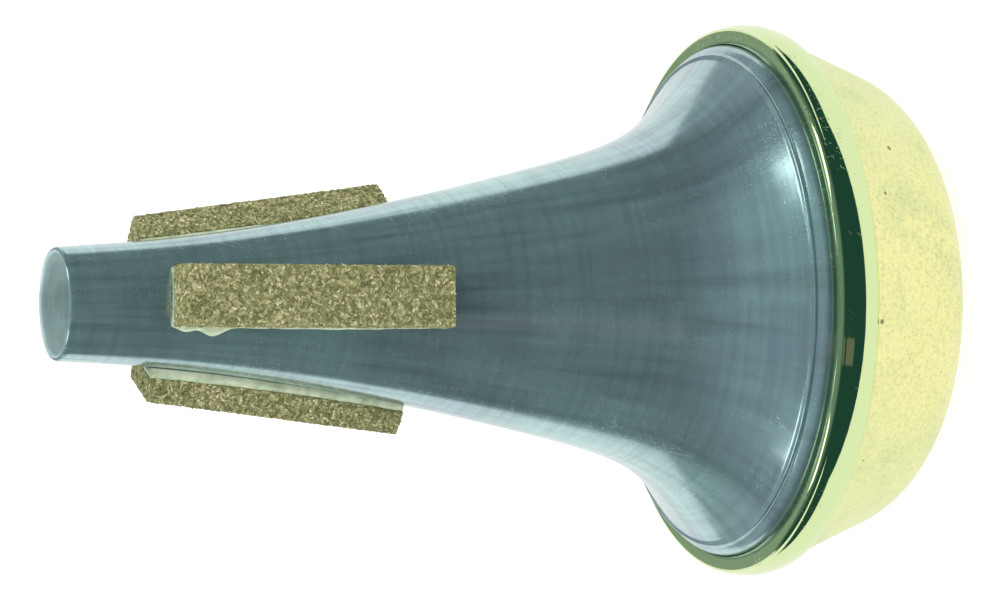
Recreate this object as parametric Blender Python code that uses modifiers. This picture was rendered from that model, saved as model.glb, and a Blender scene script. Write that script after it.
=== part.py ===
"""A straight mute for a trumpet, standing on the closed end of its brass cup with its open mouth up.

The spun aluminium body is the long neck and bell-shaped flare. The rim of the brass bottom cup is folded
round the edge of the aluminium as a hem. Three bars of cork are glued along the neck.
"""

import math

import bmesh
import bpy
from mathutils import Matrix, Vector
from mathutils.geometry import interpolate_bezier

MM = 0.001  # the sizes below are in millimetres

# General
STEPS = 64  # flats round each turned piece
CLEARANCE = 0.3  # gap between touching pieces

# Aluminium body, from the mouth down
BODY_WALL = 1.1
MOUTH_RADIUS = 10.45
MOUTH_ANGLE = 3.5  # the wall's slope from the axis, in degrees
NECK_LENGTH = 94.0
THROAT_RADIUS = 25.45
THROAT_ANGLE = 14.0
FLARE_LENGTH = 36.8
FLARE_RADIUS = 46.9
FLARE_ANGLE = 53.9
NECK_HOLDS = (0.17, 0.57)  # how far each end's slope is held, as a share of the stretch
FLARE_HOLDS = (0.49, 0.41)
BEAD_WIDTH = 1.1  # small raised ring at the end of the flare
BEAD_RISE = 0.35
SHOULDER_HEIGHT = 2.3  # from the bead down to the brass

# Brass cup, from its hem down
BRASS_WALL = 0.8
HEM_RADIUS = 53.5
HEM_HEIGHT = 8.6
HEM_BULGE = 0.6  # how far the hem's middle stands out past its edges
HEM_EDGE_RADIUS = 1.3
HEM_FOLD = 3.7  # how far the folded lip reaches inward from the hem's crown
HEM_UNDERCUT = 1.2  # height of the slope from the hem in to the cup
CUP_RADIUS = 51.2  # just under the hem
CUP_HEIGHT = 26.9
CUP_TAPER = 22.0
CUP_CORNER_RADIUS = 16.8

# Cork bars
CORK_LENGTH = 49.4  # along the axis, at the outer face
CORK_WIDTH = 11.2
CORK_FROM_MOUTH = 19.3
CORK_TOP_RADIUS = 18.4  # outer face to the axis, at its end near the mouth
CORK_BOTTOM_RADIUS = 26.0
CORK_HEEL = 0.9  # how far the slanted lower end's foot reaches past the outer face
CORK_EDGE = 0.25  # worn edges
CORK_ANGLES = (3.6, 136.2, 245.4)  # round the neck, from the front
CORK_SKEWS = (1.2, 1.6, 0.3)  # each bar was glued on slightly askew
CORK_OVERHANGS = (2.8, 0.0, 0.0)  # the bars were cut by hand: extra length toward the mouth
CORK_LIFTS = (0.0, 0.5, -0.7)  # and extra height of the outer face

# Glue
GLUE_FILM = 0.4  # over the neck's crown
GLUE_INSET = 0.4  # back from the cork's edges

HEM_TOP = CUP_HEIGHT + HEM_HEIGHT
RIDGE = HEM_TOP + SHOULDER_HEIGHT + BEAD_WIDTH * math.cos(math.radians(FLARE_ANGLE))
THROAT = RIDGE + FLARE_LENGTH
MOUTH = THROAT + NECK_LENGTH


def clearScene():
    for old in list(bpy.data.objects):
        bpy.data.objects.remove(old, do_unlink=True)


def makeCollection(name):
    made = bpy.data.collections.new(name)
    bpy.context.scene.collection.children.link(made)
    return made


def makeMaterial(name, colour, roughness, metallic):
    made = bpy.data.materials.new(name)
    made.use_nodes = True
    shader = made.node_tree.nodes["Principled BSDF"]
    shader.inputs["Base Color"].default_value = (*colour, 1.0)
    shader.inputs["Roughness"].default_value = roughness
    shader.inputs["Metallic"].default_value = metallic
    return made


def heading(angle):
    """Direction down the outline of a wall that slopes outward by this angle from the axis."""
    return Vector((math.sin(math.radians(angle)), -math.cos(math.radians(angle))))


def easedStretch(start, startAngle, end, endAngle, holds, count):
    """Points along a smooth stretch of outline, from start to end, with the slope given at each."""
    span = (end - start).length
    first = start + heading(startAngle) * span * holds[0]
    second = end - heading(endAngle) * span * holds[1]
    return [point.to_2d() for point in interpolate_bezier(start, first, second, end, count)]


def arc(centre, radius, fromAngle, toAngle, count):
    """Points on an arc; angle 0 points away from the axis and 90 points up."""
    points = []
    for i in range(count + 1):
        angle = math.radians(fromAngle + (toAngle - fromAngle) * i / count)
        points.append(centre + Vector((math.cos(angle), math.sin(angle))) * radius)
    return points


def bulge(start, end, rise, count):
    """Points on a shallow arc from start to end that stands out by rise at its middle."""
    along = end - start
    outward = Vector((-along.y, along.x)).normalized()
    points = []
    for i in range(count + 1):
        share = i / count
        points.append(start + along * share + outward * rise * 4 * share * (1 - share))
    return points


def offsetLine(points, distance):
    """The outline moved inward by the wall's thickness, with mitred corners."""
    moved = []
    for i, point in enumerate(points):
        before = points[max(i - 1, 0)]
        after = points[min(i + 1, len(points) - 1)]
        sides = [(point - before), (after - point)]
        normals = [Vector((side.y, -side.x)).normalized() for side in sides if side.length > 1e-6]
        middle = sum(normals, Vector((0, 0))).normalized()
        moved.append(point + middle * distance / middle.dot(normals[0]))
    return moved


def withoutRepeats(points):
    kept = [points[0]]
    for point in points[1:]:
        if (point - kept[-1]).length > 1e-4:
            kept.append(point)
    return kept


def neckOutline(count):
    start = Vector((MOUTH_RADIUS, MOUTH))
    end = Vector((THROAT_RADIUS, THROAT))
    return easedStretch(start, MOUTH_ANGLE, end, THROAT_ANGLE, NECK_HOLDS, count)


def flareOutline(count):
    start = Vector((THROAT_RADIUS, THROAT))
    end = Vector((FLARE_RADIUS, RIDGE))
    return easedStretch(start, THROAT_ANGLE, end, FLARE_ANGLE, FLARE_HOLDS, count)


def beadEnd():
    return Vector((FLARE_RADIUS, RIDGE)) + heading(FLARE_ANGLE) * BEAD_WIDTH


def flangeOutline():
    """The shoulder below the bead, the seat under the brass lip and the skirt inside the hem."""
    lipRadius = HEM_RADIUS - HEM_FOLD
    seat = HEM_TOP - BRASS_WALL - CLEARANCE
    skirtRadius = HEM_RADIUS - HEM_BULGE - BRASS_WALL - CLEARANCE
    skirtEnd = CUP_HEIGHT + HEM_UNDERCUT + BRASS_WALL + CLEARANCE
    start = beadEnd()
    brink = Vector((lipRadius - CLEARANCE, HEM_TOP))
    shoulder = easedStretch(start, FLARE_ANGLE, brink, 0, (0.4, 0.35), 5)
    return shoulder + [
        Vector((lipRadius - CLEARANCE, seat)),
        Vector((skirtRadius - 0.5, seat)),
        Vector((skirtRadius, seat - 0.5)),
        Vector((skirtRadius, skirtEnd)),
    ]


def bodySection():
    """Closed section of the aluminium shell: down its outside, then up its inside to the rounded lip."""
    flare = flareOutline(12)
    bead = bulge(flare[-1], beadEnd(), BEAD_RISE, 4)
    outside = withoutRepeats(neckOutline(9) + flare + bead + flangeOutline())
    inside = withoutRepeats(neckOutline(6) + flareOutline(9) + flangeOutline())
    inside = offsetLine(inside, BODY_WALL)
    half = BODY_WALL / 2
    lip = arc(Vector((MOUTH_RADIUS - half, MOUTH - half)), half, 180, 0, 6)
    outside[0] = lip[-1]
    inside[0] = lip[0]
    return outside + inside[::-1] + lip[1:-1]


def cupOutline(cornerCount):
    """Outside of the brass, from the lip's free edge over the hem and down to the middle of the base."""
    side = HEM_RADIUS - HEM_BULGE
    hemBottom = CUP_HEIGHT + HEM_UNDERCUT
    lip = Vector((HEM_RADIUS - HEM_FOLD, HEM_TOP))
    edge = arc(Vector((side - HEM_EDGE_RADIUS, HEM_TOP - HEM_EDGE_RADIUS)), HEM_EDGE_RADIUS, 90, 0, 3)
    barrel = bulge(Vector((side, HEM_TOP - HEM_EDGE_RADIUS)), Vector((side, hemBottom)), HEM_BULGE, 5)
    crease = Vector((CUP_RADIUS, CUP_HEIGHT))
    taper = math.radians(CUP_TAPER)
    straight = CUP_HEIGHT - CUP_CORNER_RADIUS * (1 - math.sin(taper))
    baseRadius = CUP_RADIUS - straight * math.tan(taper) - CUP_CORNER_RADIUS * math.cos(taper)
    corner = arc(Vector((baseRadius, CUP_CORNER_RADIUS)), CUP_CORNER_RADIUS, -CUP_TAPER, -90, cornerCount)
    return withoutRepeats([lip] + edge + barrel + [crease] + corner)


def cupSection():
    """Section of the brass, from the axis inside the base, up the inside, and down the outside."""
    outside = cupOutline(8)
    inside = offsetLine(cupOutline(6), BRASS_WALL)
    inside[-1].y = BRASS_WALL
    return [Vector((0, BRASS_WALL))] + inside[::-1] + outside + [Vector((0, 0))]


def turned(name, section, isClosed, collection, material=None):
    """A section of (radius, height) points, turned about the Z axis."""
    mesh = bpy.data.meshes.new(name)
    points = [(point.x * MM, 0, point.y * MM) for point in section]
    edges = [(i, i + 1) for i in range(len(points) - 1)]
    if isClosed:
        edges.append((len(points) - 1, 0))
    mesh.from_pydata(points, edges, [])
    made = bpy.data.objects.new(name, mesh)
    collection.objects.link(made)
    screw = made.modifiers.new("Turn", "SCREW")
    screw.steps = screw.render_steps = STEPS
    screw.use_merge_vertices = True
    screw.merge_threshold = 1e-6
    screw.use_smooth_shade = True
    if material:
        mesh.materials.append(material)
    return made


def slab(name, outline, thickness, collection, material):
    """A flat outline in the object's XY plane, given its thickness along Z, as one closed mesh."""
    curve = bpy.data.curves.new(name + "_outline", "CURVE")
    curve.dimensions = "2D"
    curve.fill_mode = "BOTH"
    curve.extrude = thickness / 2 * MM
    spline = curve.splines.new("POLY")
    spline.points.add(len(outline) - 1)
    for point, place in zip(spline.points, outline):
        point.co = (place.x * MM, place.y * MM, 0, 1)
    spline.use_cyclic_u = True
    drawn = bpy.data.objects.new(name + "_outline", curve)
    collection.objects.link(drawn)
    graph = bpy.context.evaluated_depsgraph_get()
    mesh = bpy.data.meshes.new_from_object(drawn.evaluated_get(graph))
    bpy.data.objects.remove(drawn, do_unlink=True)
    shape = bmesh.new()
    shape.from_mesh(mesh)
    bmesh.ops.remove_doubles(shape, verts=shape.verts, dist=1e-6)
    bmesh.ops.recalc_face_normals(shape, faces=shape.faces)
    shape.to_mesh(mesh)
    shape.free()
    mesh.name = name
    mesh.materials.clear()
    mesh.materials.append(material)
    made = bpy.data.objects.new(name, mesh)
    collection.objects.link(made)
    return made


def neckRadius(height):
    """Outer radius of the aluminium at this height, on the neck or the flare."""
    outline = withoutRepeats(neckOutline(40) + flareOutline(20))
    for upper, lower in zip(outline, outline[1:]):
        if upper.y >= height >= lower.y:
            share = (upper.y - height) / (upper.y - lower.y)
            return upper.x + (lower.x - upper.x) * share
    raise ValueError(f"{height} mm is off the neck and the flare")


def footLine(fromMouth, toMouth, rise, count):
    """Points just above the aluminium, along the bar, as (distance from the bar's middle, radius)."""
    middle = CORK_FROM_MOUTH + CORK_LENGTH / 2
    points = []
    for i in range(count + 1):
        place = fromMouth + (toMouth - fromMouth) * i / count
        points.append(Vector((place - middle, neckRadius(MOUTH - place) + rise)))
    return points


def corkOutline(overhang, lift):
    """Side view of a bar: a foot that follows the neck, square upper end and straight outer face."""
    rise = 2 * CLEARANCE + GLUE_FILM
    foot = footLine(CORK_FROM_MOUTH - overhang, CORK_FROM_MOUTH + CORK_LENGTH + CORK_HEEL, rise, 8)
    half = CORK_LENGTH / 2
    slope = (CORK_BOTTOM_RADIUS - CORK_TOP_RADIUS) / CORK_LENGTH
    lower = Vector((half, CORK_BOTTOM_RADIUS + lift))
    upper = Vector((-half - overhang, CORK_TOP_RADIUS + lift - slope * overhang))
    return foot + [lower, upper]


def glueOutline(overhang):
    """Side view of the glue, drawn down into the neck, which is then cut away."""
    start = CORK_FROM_MOUTH - overhang + GLUE_INSET
    end = CORK_FROM_MOUTH + CORK_LENGTH + CORK_HEEL - GLUE_INSET
    top = footLine(start, end, CLEARANCE + GLUE_FILM, 8)
    depth = CORK_WIDTH / 2
    return [point - Vector((0, depth)) for point in (top[0], top[-1])] + top[::-1]


def seatMatrix(angle, skew):
    """Frame of a bar: X runs down the neck, Y points away from the axis; its place is beside the bar's middle."""
    down = Matrix(((0, 0, -1), (0, -1, 0), (-1, 0, 0))).to_4x4()
    middle = MOUTH - CORK_FROM_MOUTH - CORK_LENGTH / 2
    turn = Matrix.Rotation(math.radians(angle), 4, "Z")
    lean = Matrix.Rotation(math.radians(skew), 4, "Y")
    return Matrix.Translation((0, 0, middle * MM)) @ turn @ lean @ down


def makeBars(parts, cutters, cork, glue):
    """The three cork bars and the glue under each, whose foot is cut to the round neck."""
    outline = withoutRepeats(neckOutline(18) + flareOutline(6))
    grown = offsetLine(outline, -CLEARANCE)
    section = [Vector((0, grown[0].y))] + grown + [Vector((0, grown[-1].y))]
    neck = turned("neck_cutter", section, False, cutters)
    neck.hide_render = True
    neck.display_type = "WIRE"
    bars = zip(CORK_ANGLES, CORK_SKEWS, CORK_OVERHANGS, CORK_LIFTS)
    for i, (angle, skew, overhang, lift) in enumerate(bars, 1):
        seat = bpy.data.objects.new(f"cork_seat_{i}", None)
        seat.matrix_world = seatMatrix(angle, skew)
        parts.objects.link(seat)
        bar = slab(f"cork_{i}", corkOutline(overhang, lift), CORK_WIDTH, parts, cork)
        bar.parent = seat
        worn = bar.modifiers.new("Worn edges", "BEVEL")
        worn.width = CORK_EDGE * MM
        worn.segments = 1
        worn.angle_limit = math.radians(40)
        filmWidth = CORK_WIDTH - 2 * GLUE_INSET
        film = slab(f"cork_glue_{i}", glueOutline(overhang), filmWidth, parts, glue)
        film.parent = seat
        fitted = film.modifiers.new("Fit to the neck", "BOOLEAN")
        fitted.operation = "DIFFERENCE"
        fitted.object = neck


def main():
    clearScene()
    parts = makeCollection("trumpet_straight_mute")
    cutters = makeCollection("cutters")
    aluminium = makeMaterial("aluminium", (0.52, 0.62, 0.62), 0.12, 1.0)
    brass = makeMaterial("brass", (0.86, 0.78, 0.38), 0.25, 1.0)
    cork = makeMaterial("cork", (0.36, 0.33, 0.17), 0.9, 0.0)
    glue = makeMaterial("glue", (0.62, 0.68, 0.50), 0.3, 0.0)
    turned("mute_body", bodySection(), True, parts, aluminium)
    turned("bottom_cup", cupSection(), False, parts, brass)
    makeBars(parts, cutters, cork, glue)


main()
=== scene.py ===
import math

import bmesh
import bpy
from mathutils import Matrix, Vector, noise
from mathutils.geometry import interpolate_bezier


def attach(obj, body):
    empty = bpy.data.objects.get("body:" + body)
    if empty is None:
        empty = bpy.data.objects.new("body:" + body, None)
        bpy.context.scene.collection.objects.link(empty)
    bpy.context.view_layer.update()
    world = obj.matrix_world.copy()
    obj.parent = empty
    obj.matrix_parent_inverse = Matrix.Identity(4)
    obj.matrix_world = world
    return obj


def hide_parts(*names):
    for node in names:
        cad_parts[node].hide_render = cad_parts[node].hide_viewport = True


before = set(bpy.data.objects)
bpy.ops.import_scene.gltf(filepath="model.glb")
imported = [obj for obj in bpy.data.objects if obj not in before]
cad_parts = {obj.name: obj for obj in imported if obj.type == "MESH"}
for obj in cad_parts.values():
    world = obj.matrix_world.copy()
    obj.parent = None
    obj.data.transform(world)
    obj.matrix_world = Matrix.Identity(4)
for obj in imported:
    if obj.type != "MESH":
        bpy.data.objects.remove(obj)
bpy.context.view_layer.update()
mm = 0.001
print("frame loaded")

# Sizes are in millimetres and degrees. The two turned outlines are the same as the solids'.
bodySizes = {
    "wall": 1.1,
    "mouthRadius": 10.45,
    "mouthAngle": 3.5,
    "neckLength": 94.0,
    "throatRadius": 25.45,
    "throatAngle": 14.0,
    "flareLength": 36.8,
    "flareRadius": 46.9,
    "flareAngle": 53.9,
    "neckHolds": (0.17, 0.57),
    "flareHolds": (0.49, 0.41),
    "shoulderHolds": (0.4, 0.35),
    "beadWidth": 1.1,
    "beadRise": 0.35,
    "shoulderHeight": 2.3,
    "skirtChamfer": 0.5,
}
cupSizes = {
    "wall": 0.8,
    "hemRadius": 53.5,
    "hemHeight": 8.6,
    "hemBulge": 0.6,
    "hemEdgeRadius": 1.3,
    "hemFold": 3.7,
    "hemUndercut": 1.2,
    "lipBulge": 0.12,
    "radius": 51.2,
    "height": 26.9,
    "taper": 22.0,
    "cornerRadius": 16.8,
    "softening": 0.5,  # radius on the creases
}
barSizes = {
    "length": 50.4,
    "width": 11.2,
    "depth": 5.6,  # before the foot is fitted to the neck
    "fromMouth": 18.3,
    "topRadius": 18.25,
    "bottomRadius": 26.0,
    "heel": 0.9,
    "film": 0.75,  # cork's underside above the neck
    "angles": (3.6, 136.2, 245.4),
    "skews": (1.2, 1.6, 0.3),
    "overhangs": (-0.5, 0.0, 0.2),
    "lifts": (0.0, 0.5, -0.7),
}
turnSteps = 256
gap = 0.3
hemTop = cupSizes["height"] + cupSizes["hemHeight"]
beadDrop = bodySizes["beadWidth"] * math.cos(math.radians(bodySizes["flareAngle"]))
ridge = hemTop + bodySizes["shoulderHeight"] + beadDrop
throat = ridge + bodySizes["flareLength"]
mouth = throat + bodySizes["neckLength"]


# outlines: points of (radius, height)
def heading(angle):
    # down a wall that leans outward by this angle
    return Vector((math.sin(math.radians(angle)), -math.cos(math.radians(angle))))


def easedStretch(start, startAngle, end, endAngle, holds, count):
    span = (end - start).length
    first = start + heading(startAngle) * span * holds[0]
    second = end - heading(endAngle) * span * holds[1]
    return [point.to_2d() for point in interpolate_bezier(start, first, second, end, count)]


def arc(centre, radius, fromAngle, toAngle, count):
    angles = [math.radians(fromAngle + (toAngle - fromAngle) * i / count) for i in range(count + 1)]
    return [centre + Vector((math.cos(a), math.sin(a))) * radius for a in angles]


def bulge(start, end, rise, count):
    along = end - start
    outward = Vector((-along.y, along.x)).normalized()
    shares = [i / count for i in range(count + 1)]
    return [start + along * s + outward * rise * 4 * s * (1 - s) for s in shares]


def offsetLine(points, distance):
    # the outline moved inward
    moved = []
    for i, point in enumerate(points):
        before = points[max(i - 1, 0)]
        after = points[min(i + 1, len(points) - 1)]
        sides = [(point - before), (after - point)]
        normals = [Vector((side.y, -side.x)).normalized() for side in sides if side.length > 1e-6]
        middle = sum(normals, Vector((0, 0))).normalized()
        moved.append(point + middle * distance / middle.dot(normals[0]))
    return moved


def withoutRepeats(points):
    kept = [points[0]]
    for point in points[1:]:
        if (point - kept[-1]).length > 1e-4:
            kept.append(point)
    return kept


def rounded(points, radius, count=4, sharp=20):
    # a small fillet at every corner that turns more than the sharp angle
    out = [points[0]]
    for before, corner, after in zip(points, points[1:], points[2:]):
        back = before - corner
        ahead = after - corner
        turn = math.pi - back.angle(ahead)
        if turn < math.radians(sharp):
            out.append(corner)
            continue
        reach = min(radius * math.tan(turn / 2), back.length * 0.45, ahead.length * 0.45)
        start = corner + back.normalized() * reach
        end = corner + ahead.normalized() * reach
        for i in range(count + 1):
            s = i / count
            out.append(start * (1 - s) ** 2 + corner * 2 * s * (1 - s) + end * s * s)
    return out + [points[-1]]


def neckOutline(count):
    b = bodySizes
    start = Vector((b["mouthRadius"], mouth))
    end = Vector((b["throatRadius"], throat))
    return easedStretch(start, b["mouthAngle"], end, b["throatAngle"], b["neckHolds"], count)


def flareOutline(count):
    b = bodySizes
    start = Vector((b["throatRadius"], throat))
    end = Vector((b["flareRadius"], ridge))
    return easedStretch(start, b["throatAngle"], end, b["flareAngle"], b["flareHolds"], count)


def flangeOutline(count):
    # shoulder, seat under the brass lip, and skirt inside the hem
    b, c = bodySizes, cupSizes
    start = Vector((b["flareRadius"], ridge)) + heading(b["flareAngle"]) * b["beadWidth"]
    brink = Vector((c["hemRadius"] - c["hemFold"] - gap, hemTop))
    seat = hemTop - c["wall"] - gap
    skirt = c["hemRadius"] - c["hemBulge"] - c["wall"] - gap
    skirtEnd = c["height"] + c["hemUndercut"] + c["wall"] + gap
    chamfer = b["skirtChamfer"]
    shoulder = easedStretch(start, b["flareAngle"], brink, 0, b["shoulderHolds"], count)
    corners = [(brink.x, seat), (skirt - chamfer, seat), (skirt, seat - chamfer), (skirt, skirtEnd)]
    return shoulder + [Vector(corner) for corner in corners]


def bodySection():
    b = bodySizes
    flare = flareOutline(90)
    bead = bulge(flare[-1], flangeOutline(4)[0], b["beadRise"], 14)
    outside = withoutRepeats(neckOutline(80) + flare + bead + flangeOutline(18))
    inside = withoutRepeats(neckOutline(36) + flareOutline(36) + flangeOutline(6))
    inside = offsetLine(inside, b["wall"])
    half = b["wall"] / 2
    lip = arc(Vector((b["mouthRadius"] - half, mouth - half)), half, 180, 0, 14)
    outside[0] = lip[-1]
    inside[0] = lip[0]
    return outside + inside[::-1] + lip[1:]


def cupOutline(cornerCount, hemCount, taperCount=10):
    c = cupSizes
    side = c["hemRadius"] - c["hemBulge"]
    lip = Vector((c["hemRadius"] - c["hemFold"], hemTop))
    edgeCentre = Vector((side - c["hemEdgeRadius"], hemTop - c["hemEdgeRadius"]))
    edge = arc(edgeCentre, c["hemEdgeRadius"], 90, 0, hemCount)
    barrelTop = Vector((side, edgeCentre.y))
    barrelEnd = Vector((side, c["height"] + c["hemUndercut"]))
    barrel = bulge(barrelTop, barrelEnd, c["hemBulge"], hemCount * 2)
    crease = Vector((c["radius"], c["height"]))
    taper = math.radians(c["taper"])
    straight = c["height"] - c["cornerRadius"] * (1 - math.sin(taper))
    baseRadius = c["radius"] - straight * math.tan(taper) - c["cornerRadius"] * math.cos(taper)
    cornerCentre = Vector((baseRadius, c["cornerRadius"]))
    corner = arc(cornerCentre, c["cornerRadius"], -c["taper"], -90, cornerCount)
    steps = [crease + (corner[0] - crease) * i / taperCount for i in range(taperCount)]
    return withoutRepeats([lip] + edge + barrel + steps + corner)


def cupSection():
    c = cupSizes
    quarters = (0.25, 0.5, 0.75)
    outside = rounded(cupOutline(36, 12), c["softening"])
    inside = offsetLine(cupOutline(14, 5), c["wall"])
    inside[-1].y = c["wall"]
    lipEdge = []
    for s in quarters:
        outward = Vector((-c["lipBulge"] * math.sin(math.pi * s), 0))
        lipEdge.append(inside[0] + (outside[0] - inside[0]) * s + outward)
    base = [outside[-1] * (1 - s) for s in quarters]
    return [Vector((0, c["wall"]))] + inside[::-1] + lipEdge + outside + base + [Vector((0, 0))]


# node helpers
def addNode(tree, kind, inputs=(), **settings):
    # inputs: socket name or number, with a value or another node's output
    node = tree.nodes.new(kind)
    for key, value in settings.items():
        setattr(node, key, value)
    for socket, value in dict(inputs).items():
        if isinstance(value, bpy.types.NodeSocket):
            tree.links.new(value, node.inputs[socket])
        else:
            node.inputs[socket].default_value = value
    return node


def calc(tree, operation, *values):
    return addNode(tree, "ShaderNodeMath", enumerate(values), operation=operation).outputs[0]


def times(tree, first, second):
    return calc(tree, "MULTIPLY", first, second)


def plus(tree, first, second):
    return calc(tree, "ADD", first, second)


def mapped(tree, value, low, high, toLow=0.0, toHigh=1.0, **settings):
    inputs = {0: value, 1: low, 2: high, 3: toLow, 4: toHigh}
    return addNode(tree, "ShaderNodeMapRange", inputs, **settings).outputs[0]


def vectorOf(tree, *parts):
    return addNode(tree, "ShaderNodeCombineXYZ", enumerate(parts)).outputs[0]


def scaledPlace(tree, parts, scales):
    return vectorOf(tree, *[times(tree, part, scale) for part, scale in zip(parts, scales)])


def newTree(name, sockets):
    tree = bpy.data.node_groups.new(name, "GeometryNodeTree")
    tree.interface.new_socket("Geometry", in_out="INPUT", socket_type="NodeSocketGeometry")
    for label, kind in sockets:
        tree.interface.new_socket(label, in_out="INPUT", socket_type="NodeSocket" + kind)
    tree.interface.new_socket("Geometry", in_out="OUTPUT", socket_type="NodeSocketGeometry")
    return tree


def finishTree(tree, geometry, finish):
    whole = addNode(tree, "GeometryNodeRealizeInstances", {"Geometry": geometry})
    done = addNode(tree, "GeometryNodeSetMaterial", {"Geometry": whole.outputs[0], "Material": finish})
    tree.links.new(done.outputs[0], tree.nodes.new("NodeGroupOutput").inputs[0])
    return tree


def turnTree():
    # turns a section's points about Z: a grid of (station, step) takes its radii from the section
    tree = newTree("turnSection", [("Stations", "Int"), ("Steps", "Int"), ("Finish", "Material")])
    given = tree.nodes.new("NodeGroupInput").outputs
    position = addNode(tree, "GeometryNodeInputPosition").outputs[0]
    gridSize = {"Vertices X": given["Stations"], "Vertices Y": plus(tree, given["Steps"], 1)}
    grid = addNode(tree, "GeometryNodeMeshGrid", gridSize).outputs[0]
    place = addNode(tree, "ShaderNodeSeparateXYZ", {0: position}).outputs
    lastStation = calc(tree, "SUBTRACT", given["Stations"], 1)
    station = calc(tree, "ROUND", times(tree, plus(tree, place[0], 0.5), lastStation))
    turn = times(tree, plus(tree, place[1], 0.5), 2 * math.pi)
    sample = addNode(tree, "GeometryNodeSampleIndex", data_type="FLOAT_VECTOR")
    tree.links.new(given["Geometry"], sample.inputs["Geometry"])
    tree.links.new(position, sample.inputs["Value"])
    tree.links.new(station, sample.inputs["Index"])
    spin = {"Vector": sample.outputs[0], "Angle": turn}
    spun = addNode(tree, "ShaderNodeVectorRotate", spin, rotation_type="Z_AXIS").outputs[0]
    moved = addNode(tree, "GeometryNodeSetPosition", {"Geometry": grid, "Position": spun}).outputs[0]
    join = {"Geometry": moved, "Distance": 0.001 * mm}
    closed = addNode(tree, "GeometryNodeMergeByDistance", join).outputs[0]
    smooth = addNode(tree, "GeometryNodeSetShadeSmooth", {"Geometry": closed}).outputs[0]
    return finishTree(tree, smooth, given["Finish"])


# mesh helpers
def link(name, mesh):
    made = bpy.data.objects.new(name, mesh)
    bpy.context.scene.collection.objects.link(made)
    return made


def meshObject(name, points, edges=(), faces=()):
    mesh = bpy.data.meshes.new(name)
    mesh.from_pydata(points, edges, faces)
    return link(name, mesh)


def faceOutward(shape):
    bmesh.ops.recalc_face_normals(shape, faces=shape.faces)
    if shape.calc_volume(signed=True) < 0:
        bmesh.ops.reverse_faces(shape, faces=shape.faces)


def shapeObject(name, shape, material):
    faceOutward(shape)
    mesh = bpy.data.meshes.new(name)
    shape.to_mesh(mesh)
    shape.free()
    mesh.materials.append(material)
    return link(name, mesh)


def bakeNodes(name, source, tree, values):
    # runs a tree on source and keeps the result as a plain mesh
    modifier = source.modifiers.new(tree.name, "NODES")
    modifier.node_group = tree
    for item in tree.interface.items_tree:
        if item.in_out == "INPUT" and item.name in values:
            modifier[item.identifier] = values[item.name]
    graph = bpy.context.evaluated_depsgraph_get()
    baked = bpy.data.meshes.new_from_object(source.evaluated_get(graph), depsgraph=graph)
    baked.materials.clear()  # this also puts every face in the first slot
    bpy.data.objects.remove(source, do_unlink=True)
    shape = bmesh.new()
    shape.from_mesh(baked)
    bpy.data.meshes.remove(baked)
    return shapeObject(name, shape, values["Finish"])


def turnedPiece(name, section, material):
    points = [(point.x * mm, 0, point.y * mm) for point in section]
    source = meshObject(name + "Section", points, [(i, i + 1) for i in range(len(points) - 1)])
    values = {"Stations": len(points), "Steps": turnSteps, "Finish": material}
    return bakeNodes(name, source, turnTree(), values)


# material helpers
def newMaterial(name):
    material = bpy.data.materials.new(name)
    material.use_nodes = True
    return material, material.node_tree, material.node_tree.nodes["Principled BSDF"]


def objectPlace(tree):
    return addNode(tree, "ShaderNodeTexCoord").outputs["Object"]


def roundPlace(tree):
    # object coordinates, with the way round the axis, the height and the radius
    place = objectPlace(tree)
    x, y, height = addNode(tree, "ShaderNodeSeparateXYZ", {0: place}).outputs[:3]
    around = calc(tree, "ARCTAN2", x, y)
    radius = calc(tree, "SQRT", plus(tree, times(tree, x, x), times(tree, y, y)))
    return place, around, height, radius


def ramp(tree, factor, stops):
    # stops: (place, grey level or colour)
    node = addNode(tree, "ShaderNodeValToRGB", {0: factor})
    while len(node.color_ramp.elements) < len(stops):
        node.color_ramp.elements.new(0.5)
    for element, (place, colour) in zip(node.color_ramp.elements, stops):
        element.position = place
        element.color = (*colour, 1) if isinstance(colour, tuple) else (colour, colour, colour, 1)
    return node.outputs[0]


def blend(tree, factor, first, second, mode="MIX"):
    node = tree.nodes.new("ShaderNodeMix")
    node.data_type = "RGBA"
    node.blend_type = mode
    for index, value in ((0, factor), (6, first), (7, second)):
        if isinstance(value, bpy.types.NodeSocket):
            tree.links.new(value, node.inputs[index])
        elif isinstance(value, tuple):
            node.inputs[index].default_value = (*value, 1)
        else:
            node.inputs[index].default_value = value
    return node.outputs[2]


def shaded(tree, tone, factor, stops):
    # tone darkened and lightened by a ramp
    return blend(tree, 1.0, tone, ramp(tree, factor, stops), "MULTIPLY")


def noiseNode(tree, vector, scale, detail, rough, distortion=0.0):
    inputs = {"Vector": vector, "Scale": scale, "Detail": detail, "Roughness": rough}
    inputs["Distortion"] = distortion
    return addNode(tree, "ShaderNodeTexNoise", inputs).outputs


def noiseAt(tree, vector, scale, detail=3.0, rough=0.5, distortion=0.0):
    return noiseNode(tree, vector, scale, detail, rough, distortion)[0]


def addBump(tree, shader, height, distance, strength):
    inputs = {"Height": height, "Distance": distance, "Strength": strength}
    tree.links.new(addNode(tree, "ShaderNodeBump", inputs).outputs[0], shader.inputs["Normal"])


scratchLook = {
    "squeeze": (14, 2600, 2600),
    "patches": 60,
    "lineLevels": (0.67, 0.72),
    "patchLevels": (0.49, 0.62),
}


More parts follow.
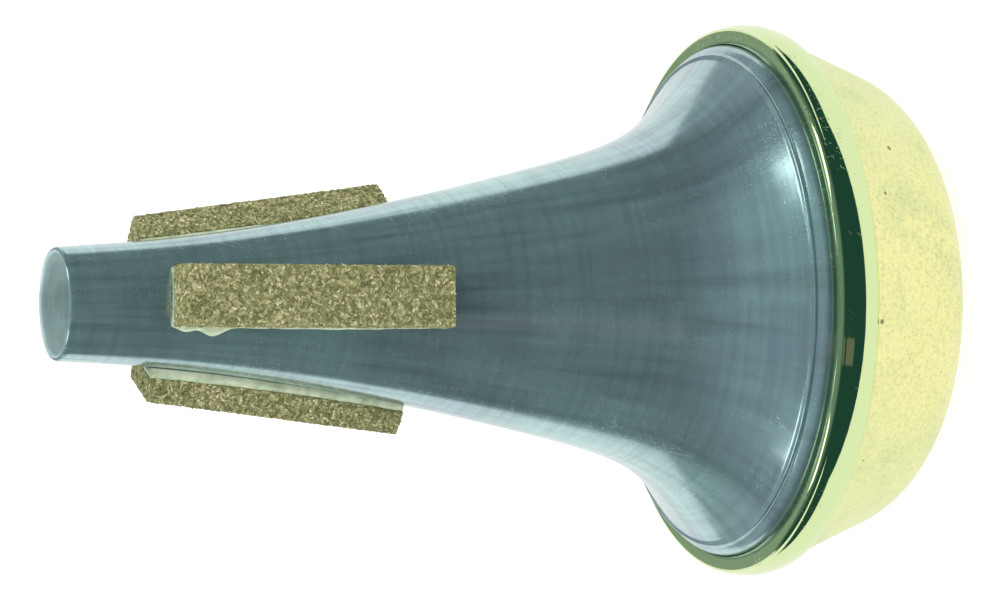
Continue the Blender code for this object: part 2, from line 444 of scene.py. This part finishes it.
def scratches(tree, place, turn, shift):
    # sparse straight hairlines that run one way, in patches
    look = scratchLook
    move = {"Vector": place, "Rotation": turn, "Location": (shift, shift * 2, shift * 3)}
    turned = addNode(tree, "ShaderNodeMapping", move).outputs[0]
    squeeze = {"Vector": turned, "Scale": look["squeeze"]}
    squeezed = addNode(tree, "ShaderNodeMapping", squeeze).outputs[0]
    line = mapped(tree, noiseAt(tree, squeezed, 1.0, 1.0), *look["lineLevels"])
    there = mapped(tree, noiseAt(tree, turned, look["patches"], 1.0), *look["patchLevels"])
    return times(tree, line, there)


aluminiumLook = {
    "colour": (0.45, 0.68, 0.665),
    "dull": (0.37, 0.49, 0.535),
    "scratched": (0.75, 0.93, 0.93),
    "metallic": 0.78,
    "roughness": 0.10,
    "scratchTurns": ((0.3, 0.2, 0.9), (1.2, 0.5, 0.1), (0.8, 1.1, 2.0), (2.2, 0.3, 1.4), (0.1, 1.5, 0.6)),
    "scratchShift": 0.31,
    "ringScales": (0.8, 900, 600),
    "streakScales": (9, 26),
    "bumpDistance": 0.001,
    "bumpStrength": 0.35,
}


def aluminium():
    look = aluminiumLook
    material, tree, shader = newMaterial("spunAluminium")
    place, around, height, radius = roundPlace(tree)
    # spinning marks run round the piece, and rubbed streaks run along it
    ringPlace = scaledPlace(tree, (around, height, radius), look["ringScales"])
    rings = noiseAt(tree, ringPlace, 1.0, 4.0, 0.6)
    streakPlace = scaledPlace(tree, (around, height), look["streakScales"])
    streaks = noiseAt(tree, streakPlace, 1.0, 3.0, 0.6)
    clouds = noiseAt(tree, place, 28, 4.0, 0.55)
    fine = noiseAt(tree, place, 160, 3.0, 0.6)
    waves = noiseAt(tree, place, 34, 2.0, 0.45)
    marks = 0.0
    for i, turn in enumerate(look["scratchTurns"], 1):
        marks = calc(tree, "MAXIMUM", marks, scratches(tree, place, turn, look["scratchShift"] * i))
    tone = blend(tree, ramp(tree, clouds, ((0.35, 0.0), (0.7, 1.0))), look["dull"], look["colour"])
    tone = shaded(tree, tone, streaks, ((0.3, 0.78), (0.5, 1.0), (0.7, 1.12)))
    tone = shaded(tree, tone, rings, ((0.3, 0.88), (0.5, 1.0), (0.7, 1.08)))
    tone = blend(tree, times(tree, marks, 0.12), tone, look["scratched"])
    tree.links.new(tone, shader.inputs["Base Color"])
    shader.inputs["Metallic"].default_value = look["metallic"]
    rough = look["roughness"]
    for pattern, share in ((clouds, 0.08), (fine, 0.04), (marks, 0.12)):
        rough = plus(tree, rough, times(tree, pattern, share))
    tree.links.new(rough, shader.inputs["Roughness"])
    relief = plus(tree, times(tree, rings, 0.010), times(tree, waves, 0.30))
    relief = calc(tree, "SUBTRACT", relief, times(tree, marks, 0.02))
    addBump(tree, shader, relief, look["bumpDistance"], look["bumpStrength"])
    return material


insideLook = {
    # painted light: lighter than the outer aluminium, for the bright inside of the mouth
    "colour": (0.66, 0.84, 0.83),
    "metallic": 0.35,
    "roughness": 0.42,
    "ringScale": 700,
    "bumpDistance": 0.0002,
    "bumpStrength": 0.4,
}


def aluminiumInside():
    # spun marks and dull grain up the inside of the neck, on a lighter, less metallic copy of the
    # aluminium: painted light for the bright reflections inside the mouth
    look = insideLook
    material, tree, shader = newMaterial("paintedLightInsideAluminium")
    place, around, height = roundPlace(tree)[:3]
    grain = noiseAt(tree, place, 240, 4.0, 0.6)
    ringPlace = vectorOf(tree, around, times(tree, height, look["ringScale"]))
    rings = noiseAt(tree, ringPlace, 1.0, 4.0, 0.6)
    tone = shaded(tree, look["colour"], rings, ((0.3, 0.8), (0.7, 1.1)))
    tone = shaded(tree, tone, grain, ((0.3, 0.85), (0.7, 1.05)))
    tree.links.new(tone, shader.inputs["Base Color"])
    shader.inputs["Metallic"].default_value = look["metallic"]
    shader.inputs["Roughness"].default_value = look["roughness"]
    addBump(tree, shader, rings, look["bumpDistance"], look["bumpStrength"])
    return material


brassLook = {
    "hem": (0.70, 0.84, 0.44),
    "cup": (0.93, 0.91, 0.43),
    "stain": (0.55, 0.70, 0.34),
    # painted shade: the darker, greener colour laid on the cup's sides toward ±X
    "sides": (0.66, 0.80, 0.42),
    "speck": (0.06, 0.09, 0.03),
    "roughHem": 0.055,
    "roughCup": 0.36,
    "metallicCup": 0.88,
    "hemFrom": (0.0266, 0.0276),  # heights between which the satin cup turns into the polished hem
    "ringScales": (1.2, 1500, 1500),
    "speckScale": 95.0,
    "speckSize": 0.045,
    "scratchTurn": (0.4, 0.9, 0.2),
    "scratchShift": 0.7,
    "bumpDistance": 0.001,
    "bumpStrength": 0.35,
}


def brass():
    look = brassLook
    material, tree, shader = newMaterial("cupBrass")
    place, around, height, radius = roundPlace(tree)
    shadeAcross = addNode(tree, "ShaderNodeSeparateXYZ", {0: place}).outputs[0]
    onHem = mapped(tree, height, *look["hemFrom"])
    ringPlace = scaledPlace(tree, (around, height, radius), look["ringScales"])
    rings = noiseAt(tree, ringPlace, 1.0, 4.0, 0.7)
    mottle = noiseAt(tree, place, 90, 6.0, 0.7)
    clouds = noiseAt(tree, place, 22, 3.0, 0.5)
    pores = noiseAt(tree, place, 1300, 3.0, 0.7)
    marks = scratches(tree, place, look["scratchTurn"], look["scratchShift"])
    cells = {"Vector": place, "Scale": look["speckScale"]}
    cellDistance = addNode(tree, "ShaderNodeTexVoronoi", cells, feature="F1").outputs["Distance"]
    speck = calc(tree, "LESS_THAN", cellDistance, look["speckSize"])
    # the satin cup: stains, pores, painted shade that turns the sides toward ±X greener and darker, and
    # dark specks
    spots = ramp(tree, mottle, ((0.48, 0.0), (0.72, 1.0)))
    stained = times(tree, spots, ramp(tree, clouds, ((0.35, 0.15), (0.7, 0.9))))
    cup = blend(tree, times(tree, stained, 0.75), look["cup"], look["stain"])
    cup = shaded(tree, cup, pores, ((0.35, 0.84), (0.5, 1.0), (0.7, 1.06)))
    # painted shade, growing with the distance from the middle along X
    sides = ramp(tree, calc(tree, "ABSOLUTE", shadeAcross), ((0.012, 0.0), (0.05, 1.0)))
    cup = blend(tree, times(tree, sides, 0.55), cup, look["sides"])
    cup = blend(tree, times(tree, speck, 0.75), cup, look["speck"])
    tree.links.new(blend(tree, onHem, cup, look["hem"]), shader.inputs["Base Color"])
    metal = mapped(tree, onHem, 0.0, 1.0, look["metallicCup"], 1.0)
    tree.links.new(metal, shader.inputs["Metallic"])
    satin = plus(tree, look["roughCup"], times(tree, plus(tree, mottle, -0.5), 0.25))
    polish = plus(tree, look["roughHem"], times(tree, plus(tree, clouds, -0.5), 0.1))
    tree.links.new(mapped(tree, onHem, 0.0, 1.0, satin, polish), shader.inputs["Roughness"])
    grain = times(tree, plus(tree, mottle, rings), calc(tree, "SUBTRACT", 1.15, onHem))
    relief = calc(tree, "SUBTRACT", times(tree, grain, 0.05), times(tree, marks, 0.08))
    addBump(tree, shader, relief, look["bumpDistance"], look["bumpStrength"])
    return material


corkLook = {
    "granule": 1900.0,
    "granules": (
        (0.12, (0.25, 0.27, 0.11)),
        (0.36, (0.36, 0.37, 0.16)),
        (0.58, (0.47, 0.47, 0.22)),
        (0.82, (0.60, 0.58, 0.30)),
        (0.97, (0.85, 0.80, 0.47)),
    ),
    "warpScale": 500,
    "warp": 0.0022,
    "fleck": (0.09, 0.085, 0.04),
    "crack": (0.06, 0.07, 0.025),
    "roughness": 0.85,
    "specular": 0.25,
    "bumpDistance": 0.0003,
    "bumpStrength": 0.8,
}


def cork():
    look = corkLook
    material, tree, shader = newMaterial("corkGrain")
    place = objectPlace(tree)
    warp = noiseNode(tree, place, look["warpScale"], 2.0, 0.5)[1]
    shove = {0: warp, "Scale": look["warp"]}
    small = addNode(tree, "ShaderNodeVectorMath", shove, operation="SCALE").outputs[0]
    bent = addNode(tree, "ShaderNodeVectorMath", {0: place, 1: small}, operation="ADD").outputs[0]
    granules = {"Vector": bent, "Scale": look["granule"]}
    cells = addNode(tree, "ShaderNodeTexVoronoi", granules, feature="F1").outputs
    edges = addNode(tree, "ShaderNodeTexVoronoi", granules, feature="DISTANCE_TO_EDGE").outputs
    pick = addNode(tree, "ShaderNodeSeparateColor", {0: cells["Color"]}).outputs[0]
    grain = noiseAt(tree, place, 2600, 4.0, 0.65)
    flecks = ramp(tree, noiseAt(tree, place, 900, 3.0, 0.7, 1.5), ((0.58, 0.0), (0.66, 1.0)))
    cracks = ramp(tree, edges["Distance"], ((0.0, 1.0), (0.07, 0.0)))
    tone = ramp(tree, pick, look["granules"])
    grainTone = ramp(tree, grain, ((0.3, 0.45), (0.55, 1.0), (0.75, 1.5)))
    tone = blend(tree, 0.75, tone, grainTone, "MULTIPLY")
    tone = blend(tree, times(tree, flecks, 0.75), tone, look["fleck"])
    tone = blend(tree, times(tree, cracks, 0.35), tone, look["crack"])
    tree.links.new(tone, shader.inputs["Base Color"])
    shader.inputs["Roughness"].default_value = look["roughness"]
    shader.inputs["Specular IOR Level"].default_value = look["specular"]
    relief = plus(tree, times(tree, grain, 0.5), times(tree, cracks, -0.6))
    addBump(tree, shader, relief, look["bumpDistance"], look["bumpStrength"])
    return material


glueLook = {
    "tones": ((0.3, (0.30, 0.38, 0.24)), (0.5, (0.55, 0.66, 0.46)), (0.7, (0.78, 0.84, 0.66))),
    "cloudScale": 260,
    "roughness": 0.2,
    "translucence": 0.2,
    "translucenceDepth": 0.002,
    "bumpDistance": 0.0004,
    "bumpStrength": 0.5,
}


def glue():
    look = glueLook
    material, tree, shader = newMaterial("driedGlue")
    clouds = noiseAt(tree, objectPlace(tree), look["cloudScale"], 4.0, 0.6)
    tree.links.new(ramp(tree, clouds, look["tones"]), shader.inputs["Base Color"])
    rough = plus(tree, look["roughness"], times(tree, clouds, 0.3))
    tree.links.new(rough, shader.inputs["Roughness"])
    shader.inputs["Subsurface Weight"].default_value = look["translucence"]
    shader.inputs["Subsurface Scale"].default_value = look["translucenceDepth"]
    addBump(tree, shader, clouds, look["bumpDistance"], look["bumpStrength"])
    return material


# the neck's outer radius, from a table of even steps down from the mouth
neckStep = 0.5
neckLine = withoutRepeats(neckOutline(120) + flareOutline(60))


def neckRadius(height):
    for upper, lower in zip(neckLine, neckLine[1:]):
        if upper.y >= height >= lower.y:
            share = (upper.y - height) / (upper.y - lower.y)
            return upper.x + (lower.x - upper.x) * share
    return neckLine[0].x


neckTable = [neckRadius(mouth - i * neckStep) for i in range(200)]


def neckAt(fromMouth):
    step = max(0.0, fromMouth / neckStep)
    low = min(int(step), len(neckTable) - 2)
    return neckTable[low] + (neckTable[low + 1] - neckTable[low]) * (step - low)


# cork bars: X runs down the neck from the bar's middle, Y away from the axis
def seatMatrix(angle, skew):
    down = Matrix(((0, 0, -1), (0, -1, 0), (-1, 0, 0))).to_4x4()
    turn = Matrix.Rotation(math.radians(angle), 4, "Z")
    lean = Matrix.Rotation(math.radians(skew), 4, "Y")
    middle = mouth - barSizes["fromMouth"] - barSizes["length"] / 2
    return Matrix.Translation((0, 0, middle)) @ turn @ lean @ down


def barPoint(index, along, up):
    # along runs 0 to 1 from the mouth's end, up runs 0 to 1 from the foot to the outer face
    b = barSizes
    start = b["fromMouth"] - b["overhangs"][index - 1]
    end = b["fromMouth"] + b["length"] + b["heel"] * (1 - up)
    place = start + (end - start) * along
    foot = neckAt(place) + b["film"]
    slope = (b["bottomRadius"] - b["topRadius"]) / b["length"]
    top = b["topRadius"] + b["lifts"][index - 1] + slope * (place - b["fromMouth"])
    middle = b["fromMouth"] + b["length"] / 2
    return place - middle, foot + (top - foot) * up


def gridBlock(size, cell):
    # a block with even square cells on all six sides
    counts = [max(2, round(side / cell)) for side in size]
    shape = bmesh.new()
    for axis in range(3):
        across, up = (axis + 1) % 3, (axis + 2) % 3
        for side in (-0.5, 0.5):
            rows = []
            for i in range(counts[across] + 1):
                row = []
                for j in range(counts[up] + 1):
                    point = Vector((0, 0, 0))
                    point[axis] = side * size[axis]
                    point[across] = (i / counts[across] - 0.5) * size[across]
                    point[up] = (j / counts[up] - 0.5) * size[up]
                    row.append(shape.verts.new(point))
                rows.append(row)
            for i in range(counts[across]):
                for j in range(counts[up]):
                    corners = (rows[i][j], rows[i + 1][j], rows[i + 1][j + 1], rows[i][j + 1])
                    shape.faces.new(corners)
    bmesh.ops.remove_doubles(shape, verts=shape.verts, dist=1e-4)
    return shape


barGrain = {
    "cell": 0.30,
    "edge": 0.3,  # rounding of the edges
    "granule": 0.8,
    "granuleStretch": 0.8,
    "pit": 0.12,
    "pitWidth": 0.28,
    "roughness": 0.07,
    "roughScale": 1.9,
    "fray": 0.24,  # extra wear along the edges
    "proud": 0.05,
    "seedStep": 31.7,
}


def corkBar(index, angle, skew, material):
    g = barGrain
    size = Vector((barSizes["length"], barSizes["depth"], barSizes["width"]))
    inner = size / 2 - Vector((1, 1, 1)) * g["edge"]
    seat = seatMatrix(angle, skew)
    shape = gridBlock(size, g["cell"])
    for vert in shape.verts:
        core = Vector([max(-limit, min(limit, part)) for limit, part in zip(inner, vert.co)])
        normal = (vert.co - core).normalized()
        raw = core + normal * g["edge"]
        seed = raw + Vector((index * g["seedStep"], 0, 0))
        cell = Vector((seed.x * g["granuleStretch"], seed.y, seed.z)) / g["granule"]
        nearest, second = noise.voronoi(cell)[0][:2]
        groove = max(0.0, 1 - (second - nearest) / g["pitWidth"])
        rough = noise.fractal(seed * g["roughScale"], 0.6, 2.0, 4)
        onEdge = sum(1 for limit, part in zip(inner, raw) if abs(part) > limit + 0.02) >= 2
        depth = g["pit"] * groove * groove + g["roughness"] * rough
        if onEdge:
            depth += g["fray"] * abs(rough)
        moved = raw - normal * max(-g["proud"], depth)
        moved.y = max(moved.y, -size.y / 2)
        along, radius = barPoint(index, moved.x / size.x + 0.5, moved.y / size.y + 0.5)
        vert.co = (seat @ Vector((along, radius, moved.z))) * mm
    return shapeObject(f"corkBar{index}", shape, material)


crumbSizes = {
    "density": 1.1e6,
    "size": 0.00024,
    "seed": 5,
    "smallest": (0.3, 0.25, 0.4),
    "largest": (1.3, 0.8, 1.6),
    "turn": (6.2, 6.2, 6.2),
}


def crumbTree():
    # small loose granules over a bar
    sockets = [("Density", "Float"), ("Size", "Float"), ("Seed", "Int"), ("Finish", "Material")]
    tree = newTree("corkCrumbs", sockets)
    given = tree.nodes.new("NodeGroupInput").outputs
    cover = {"Mesh": given["Geometry"], "Density": given["Density"], "Seed": given["Seed"]}
    spread = addNode(tree, "GeometryNodeDistributePointsOnFaces", cover).outputs[0]
    ball = {"Radius": given["Size"], "Subdivisions": 1}
    grain = addNode(tree, "GeometryNodeMeshIcoSphere", ball).outputs[0]
    turnSeed = plus(tree, given["Seed"], 1)
    scaleSeed = plus(tree, given["Seed"], 2)
    turns = {"Min": (0, 0, 0), "Max": crumbSizes["turn"], "Seed": turnSeed}
    turn = addNode(tree, "FunctionNodeRandomValue", turns, data_type="FLOAT_VECTOR").outputs[0]
    scales = {"Min": crumbSizes["smallest"], "Max": crumbSizes["largest"], "Seed": scaleSeed}
    scale = addNode(tree, "FunctionNodeRandomValue", scales, data_type="FLOAT_VECTOR").outputs[0]
    stamp = {"Points": spread, "Instance": grain, "Rotation": turn, "Scale": scale}
    put = addNode(tree, "GeometryNodeInstanceOnPoints", stamp).outputs[0]
    return finishTree(tree, put, given["Finish"])


def corkCrumbs(index, bar, material):
    source = link(f"crumbSource{index}", bar.data.copy())
    values = {"Density": crumbSizes["density"], "Size": crumbSizes["size"]}
    values["Seed"] = crumbSizes["seed"] + index
    values["Finish"] = material
    return bakeNodes(f"corkCrumbs{index}", source, crumbTree(), values)


glueSizes = {
    "inset": 0.5,
    "endInset": (0.15, 0.3),
    "overlap": 0.12,  # into the cork
    "lift": 0.05,  # clear of the neck
    "ripple": 0.12,
    "rippleScale": 0.35,
    "roundness": 0.15,
    "rings": 90,
    "sideSteps": 10,
}
# glue that squeezed out or fell short: bar, side, middle and half length along the bar, size
glueBeads = (
    (1, 1, 0.15, 0.05, 1.2),
    (1, 1, 0.05, 0.04, 0.7),
    (1, 1, 0.6, 0.5, 0.45),
    (1, -1, 0.05, 0.05, 0.4),
    (2, 1, 0.3, 0.3, 0.35),
    (2, -1, 0.55, 0.3, 0.3),
    (3, -1, 0.35, 0.45, 0.5),
    (3, 1, 0.5, 0.9, -3.4),
)


def glueSwell(index, side, along, place):
    seed = Vector((place * glueSizes["rippleScale"], side * 3.1, index * 7.7))
    swell = glueSizes["ripple"] * noise.noise(seed)
    for bar, beadSide, centre, reach, size in glueBeads:
        if bar == index and beadSide == side:
            swell += size * math.exp(-(((along - centre) / reach) ** 2))
    return swell


def glueRing(index, along, place):
    # one cross-section: down one side, along the neck and up the other side
    b, g = barSizes, glueSizes
    x = place - b["fromMouth"] - b["length"] / 2
    neck = neckAt(place) + g["lift"]
    top = neckAt(place) + b["film"] + g["overlap"]
    halves = []
    for side in (1, -1):
        swell = glueSwell(index, side, along, place)
        edge = b["width"] / 2 - g["inset"] + swell
        low = math.sqrt(max(neck * neck - edge * edge, 1.0))
        half = []
        for k in range(g["sideSteps"] + 1):
            share = k / g["sideSteps"]
            out = edge + (g["roundness"] + swell * 0.35) * math.sin(math.pi * share)
            half.append(Vector((x, top + (low - top) * share, out * side)))
        for share in (0.75, 0.5, 0.25):
            drop = math.sqrt(max(neck * neck - (edge * share) ** 2, 1.0))
            half.append(Vector((x, drop, edge * share * side)))
        halves.append(half)
    return halves[0] + [Vector((x, neck, 0))] + halves[1][::-1]


def glueStrip(index, angle, skew, material):
    b, g = barSizes, glueSizes
    seat = seatMatrix(angle, skew)
    start = b["fromMouth"] - b["overhangs"][index - 1] + g["endInset"][0]
    end = b["fromMouth"] + b["length"] + b["heel"] - g["endInset"][1]
    shape = bmesh.new()
    rows = []
    for i in range(g["rings"] + 1):
        along = i / g["rings"]
        ring = glueRing(index, along, start + (end - start) * along)
        rows.append([shape.verts.new((seat @ point) * mm) for point in ring])
    size = len(rows[0])
    for near, far in zip(rows, rows[1:]):
        for k in range(size):
            after = (k + 1) % size
            shape.faces.new((near[k], near[after], far[after], far[k])).smooth = True
    shape.faces.new(rows[0]).smooth = True
    shape.faces.new(rows[-1][::-1]).smooth = True
    return shapeObject(f"glueStrip{index}", shape, material)


# camera, room and light
cameraPlace = {
    "tilt": 21.97,
    "roll": 0.305,
    "distance": 758.2,
    "aboveMouth": 218.1,
    "side": 0.12,
    "focal": 154.8,
    "sensor": 36,
    "clip": (0.01, 20),  # metres
}


def makeCamera():
    c = cameraPlace
    tilt = math.radians(c["tilt"])
    roll = math.radians(c["roll"])
    forward = Vector((0, math.cos(tilt), -math.sin(tilt)))
    level = Vector((1, 0, 0))
    across = forward.cross(level)
    right = across * math.cos(roll) - level * math.sin(roll)
    up = level * math.cos(roll) + across * math.sin(roll)
    camera = link("camera", bpy.data.cameras.new("camera"))
    camera.data.lens = c["focal"]
    camera.data.sensor_width = c["sensor"]
    camera.data.clip_start, camera.data.clip_end = c["clip"]
    place = Vector((c["side"], -c["distance"], mouth + c["aboveMouth"])) * mm
    turn = Matrix((right, up, -forward)).transposed().to_4x4()
    camera.matrix_world = Matrix.Translation(place) @ turn
    bpy.context.scene.camera = camera


studio = {
    "dark": (0.016, 0.060, 0.062),
    "upper": (0.17, 0.25, 0.27),
    "rear": (0.27, 0.34, 0.34),
    "upperFrom": (0.25, 0.95),  # how far up the direction points
    "rearFrom": (0.40, 0.62),  # how far back it points
    "fill": 0.60,
    "white": (1.0, 1.0, 1.0),
    "floor": (0.93, 0.93, 0.92),
    "floorSeen": (0.45, 0.45, 0.45),
    "floorGlow": 0.80,
    "floorSize": 3000,
    "floorDrop": 0.2,
    "cardDrop": 0.4,
}


def makeWorld():
    # white to the camera, a dim teal room to the polished metal, plain fill light to the rest
    world = bpy.data.worlds.new("studio")
    bpy.context.scene.world = world
    world.use_nodes = True
    tree = world.node_tree
    direction = addNode(tree, "ShaderNodeTexCoord").outputs["Generated"]
    y, z = addNode(tree, "ShaderNodeSeparateXYZ", {0: direction}).outputs[1:3]
    above = mapped(tree, z, *studio["upperFrom"], interpolation_type="SMOOTHSTEP")
    behind = mapped(tree, y, *studio["rearFrom"], interpolation_type="SMOOTHSTEP")
    room = blend(tree, above, studio["dark"], studio["upper"])
    room = blend(tree, behind, room, studio["rear"])
    rays = addNode(tree, "ShaderNodeLightPath").outputs
    seen = blend(tree, rays["Is Glossy Ray"], (studio["fill"],) * 3, room)
    seen = blend(tree, rays["Is Transmission Ray"], seen, studio["white"])
    seen = blend(tree, rays["Is Camera Ray"], seen, studio["white"])
    tree.links.new(seen, tree.nodes["Background"].inputs["Color"])


def makeFloor():
    s, size, low = studio, studio["floorSize"] * mm, -studio["floorDrop"] * mm
    corners = [(-size, -size, low), (size, -size, low), (size, size, low), (-size, size, low)]
    floor = meshObject("floor", corners, faces=[(0, 1, 2, 3)])
    material, tree, shader = newMaterial("paleFloor")
    shader.inputs["Base Color"].default_value = (*s["floor"], 1)
    shader.inputs["Roughness"].default_value = 0.9
    shader.inputs["Specular IOR Level"].default_value = 0.0
    # to the camera it is white, and keeps a soft shadow
    seen = addNode(tree, "ShaderNodeBsdfDiffuse", {"Color": (*s["floorSeen"], 1)}).outputs[0]
    light = {"Color": (*s["white"], 1), "Strength": s["floorGlow"]}
    glow = addNode(tree, "ShaderNodeEmission", light).outputs[0]
    both = addNode(tree, "ShaderNodeAddShader", {0: seen, 1: glow}).outputs[0]
    toCamera = addNode(tree, "ShaderNodeLightPath").outputs["Is Camera Ray"]
    choice = {0: toCamera, 1: shader.outputs[0], 2: both}
    pick = addNode(tree, "ShaderNodeMixShader", choice).outputs[0]
    tree.links.new(pick, tree.nodes["Material Output"].inputs["Surface"])
    floor.data.materials.append(material)
    floor.visible_glossy = False


# what the metal reflects: a sheet of white paper that widens behind, the wall at its back, and soft boxes
paperOutline = ((-260, -102), (260, -102), (260, 138), (752, 400), (-752, 400), (-260, 138))
wallHeight = 135
reflectors = {
    "leftStrip": {"around": -120, "above": 57, "width": 480, "height": 400, "strength": 2.6},
    "rightStrip": {"around": 120, "above": 60, "width": 700, "height": 340, "strength": 2.6},
    "frontStrip": {"around": -20, "above": 8, "width": 260, "height": 620, "strength": 0.16},
}
reflectorDistance = 1400
reflectorAim = Vector((0, 0, 90))


def reflectorCard(name, points, strength=1.0):
    places = [(x * mm, y * mm, z * mm) for x, y, z in points]
    card = meshObject(name, places, faces=[tuple(range(len(points)))])
    material = bpy.data.materials.new(name)
    material.use_nodes = True
    tree = material.node_tree
    light = {"Color": (1.0, 1.0, 0.98, 1), "Strength": strength}
    glow = addNode(tree, "ShaderNodeEmission", light).outputs[0]
    tree.links.new(glow, tree.nodes["Material Output"].inputs["Surface"])
    card.data.materials.append(material)
    card.visible_camera = False
    card.visible_diffuse = False
    card.visible_shadow = False


def makeReflectors():
    reflectorCard("paper", [(x, y, -studio["cardDrop"]) for x, y in paperOutline])
    right, left = paperOutline[3], paperOutline[4]
    reflectorCard("paperWall", [(*left, 0), (*right, 0), (*right, wallHeight), (*left, wallHeight)])
    for name, card in reflectors.items():
        around = Matrix.Rotation(math.radians(card["around"]), 4, "Z")
        turn = around @ Matrix.Rotation(math.radians(-card["above"]), 4, "X")
        x, z = card["width"] / 2, card["height"] / 2
        signs = ((-1, -1), (1, -1), (1, 1), (-1, 1))
        corners = [Vector((x * side, -reflectorDistance, z * up)) for side, up in signs]
        reflectorCard(name, [turn @ corner + reflectorAim for corner in corners], card["strength"])


lamps = {
    "leftBox": {"around": -98, "above": 46, "distance": 1400, "size": (750, 350), "power": 7.5},
    "rightBox": {"around": 80, "above": 52, "distance": 1400, "size": (950, 400), "power": 7.5},
    "frontBox": {"around": -28, "above": 34, "distance": 1600, "size": (220, 500), "power": 2.2},
}
lampAim = Vector((0, 0, 85))


def makeLamps():
    for name, box in lamps.items():
        around, above = math.radians(box["around"]), math.radians(box["above"])
        level = math.cos(above)
        away = Vector((math.sin(around) * level, -math.cos(around) * level, math.sin(above)))
        light = bpy.data.lights.new(name, "AREA")
        light.shape = "RECTANGLE"
        light.size, light.size_y = [side * mm for side in box["size"]]
        light.energy = box["power"]
        lamp = link(name, light)
        lamp.location = (lampAim + away * box["distance"]) * mm
        lamp.rotation_euler = away.to_track_quat("Z", "Y").to_euler()
        lamp.visible_glossy = False


def register(piece, node=None):
    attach(piece, "root")
    if node:
        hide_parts(node)


makeCamera()
print("camera placed")

shell = turnedPiece("bodyShell", bodySection(), aluminium())
# the inside of the neck gets the lighter copy of the aluminium, which is painted light
shell.data.materials.append(aluminiumInside())
for face in shell.data.polygons:
    middle = face.center / mm
    midWall = neckAt(mouth - middle.z) - bodySizes["wall"] / 2
    if middle.z > throat and middle.to_2d().length < midWall:
        face.material_index = 1
register(shell, "mute_body")
register(turnedPiece("cupShell", cupSection(), brass()), "bottom_cup")
print("turned shells made")

corkFinish = cork()
glueFinish = glue()
for index, (angle, skew) in enumerate(zip(barSizes["angles"], barSizes["skews"]), 1):
    bar = corkBar(index, angle, skew, corkFinish)
    register(bar, f"cork_{index}")
    register(glueStrip(index, angle, skew, glueFinish), f"cork_glue_{index}")
    register(corkCrumbs(index, bar, corkFinish))
    print(f"bar {index} made")

makeWorld()
makeFloor()
makeReflectors()
makeLamps()
bpy.context.scene.view_settings.view_transform = "Standard"
print("studio lit")
